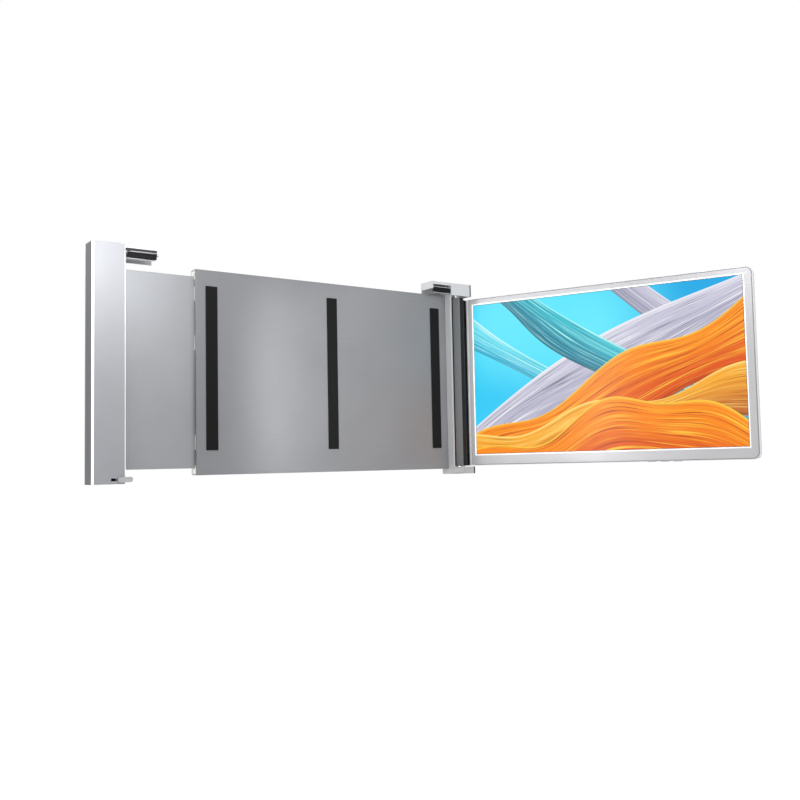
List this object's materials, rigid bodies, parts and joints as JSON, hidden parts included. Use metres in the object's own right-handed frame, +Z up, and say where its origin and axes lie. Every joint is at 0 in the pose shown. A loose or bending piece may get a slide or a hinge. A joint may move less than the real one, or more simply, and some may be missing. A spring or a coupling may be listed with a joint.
{
  "type": "laptop screen extender",
  "caption": "Clamp-on side screen for a laptop: a telescopic silver frame with spring clips and a slim display that swings on a friction hinge.",
  "frame": {"origin": "centre of the lid seat, on the front face of the centre rubber pad", "axes": "+X to the right along the frame, seen from the user's side; +Y to the back; +Z up"},
  "size_m": [0.5735, 0.3101, 0.2196],
  "materials": {
    "silver": "satin anodised",
    "dark_cover": "matte moulded",
    "black_cap": "matte moulded",
    "pad_rubber": "fine-textured",
    "nylon": "natural",
    "steel": "brushed",
    "screws": "zinc plated",
    "screen_glass": "matte display glass",
    "panel": "laminated panel",
    "backlight": "white reflector",
    "circuit": "solder mask",
    "chip": "moulded",
    "ribbon": "polyimide film"
  },
  "bodies": {
    "frame": {"front_plate": "silver", "lid_pads": "pad_rubber", "rear_cover": "silver", "rear_cover_screws": "screws", "lower_guide_rail": "nylon", "upper_guide_rail": "nylon", "travel_stop_pin": "steel", "slide_glides": "nylon", "upright": "silver", "top_hinge_block": "silver", "bottom_hinge_block": "silver", "top_end_cap": "black_cap", "bottom_end_cap": "black_cap", "upper_hinge_shaft": "steel", "lower_hinge_shaft": "steel", "hinge_nut": "screws", "hinge_washers": "steel", "clip_pin_right": "steel", "clip_bracket_right": "silver", "torsion_spring_right": "steel"},
    "left_carriage": {"wing_shell": "silver", "wing_back_cover": "silver", "wing_cover_screws": "screws", "slide_plate": "silver", "slide_anchor": "steel", "slide_screws": "screws", "clip_pin_left": "steel", "clip_bracket_left": "silver", "torsion_spring_left": "steel"},
    "monitor": {"bezel_frame": "silver", "screen_back_cover": "silver", "screen_cover_screws": "screws", "hinge_barrel": "dark_cover", "hinge_leaves": "steel", "lower_friction_bush": "steel", "upper_friction_bush": "steel", "cover_glass": "screen_glass", "lcd_panel": "panel", "backlight_unit": "backlight", "led_bar": "backlight", "driver_board": "circuit", "board_chips": "chip", "panel_ribbon": "ribbon", "port_board": "circuit", "board_link": "ribbon", "speakers": "dark_cover", "usb_c_sockets": "steel", "hdmi_socket": "steel", "button_board": "circuit", "button_switches": "chip"},
    "clip_left": {"clip_flap_left": "silver", "clip_rubber_left": "pad_rubber"},
    "clip_right": {"clip_flap_right": "silver", "clip_rubber_right": "pad_rubber"},
    "tab_left": {"bottom_tab_left": "silver"},
    "tab_right": {"bottom_tab_right": "silver"},
    "power_key": {"power_button": "silver"},
    "plus_key": {"plus_button": "silver"},
    "minus_key": {"minus_button": "silver"}
  },
  "joints": [
    {"name": "frame_slide", "type": "slide", "parent": "frame", "child": "left_carriage", "axis": [-1, 0, 0], "range_m": [-0.069, 0.031]},
    {"name": "monitor_hinge", "type": "hinge", "parent": "frame", "child": "monitor", "pos_m": [0.1687, 0.0037, 0], "axis": [0, 0, 1], "range_deg": [-113.5, 119]},
    {"name": "left_clip_hinge", "type": "hinge", "parent": "left_carriage", "child": "clip_left", "pos_m": [-0.206, -0.0069, 0.1029], "axis": [-1, 0, 0], "range_deg": [0, 70], "stiffness_Nm_per_rad": 0.02, "springref_deg": -34.38},
    {"name": "right_clip_hinge", "type": "hinge", "parent": "frame", "child": "clip_right", "pos_m": [0.1396, -0.0069, 0.1029], "axis": [-1, 0, 0], "range_deg": [0, 70], "stiffness_Nm_per_rad": 0.02, "springref_deg": -34.38},
    {"name": "left_tab_slide", "type": "slide", "parent": "left_carriage", "child": "tab_left", "axis": [-1, 0, 0], "range_m": [0, 0.006]},
    {"name": "right_tab_slide", "type": "slide", "parent": "frame", "child": "tab_right", "axis": [1, 0, 0], "range_m": [0, 0.0042]},
    {"name": "power_press", "type": "slide", "parent": "monitor", "child": "power_key", "axis": [0, 0, 1], "range_m": [0, 0.0004], "stiffness_N_per_m": 1500, "springref_m": -0.0003},
    {"name": "plus_press", "type": "slide", "parent": "monitor", "child": "plus_key", "axis": [0, 0, 1], "range_m": [0, 0.0004], "stiffness_N_per_m": 1500, "springref_m": -0.0003},
    {"name": "minus_press", "type": "slide", "parent": "monitor", "child": "minus_key", "axis": [0, 0, 1], "range_m": [0, 0.0004], "stiffness_N_per_m": 1500, "springref_m": -0.0003}
  ]
}
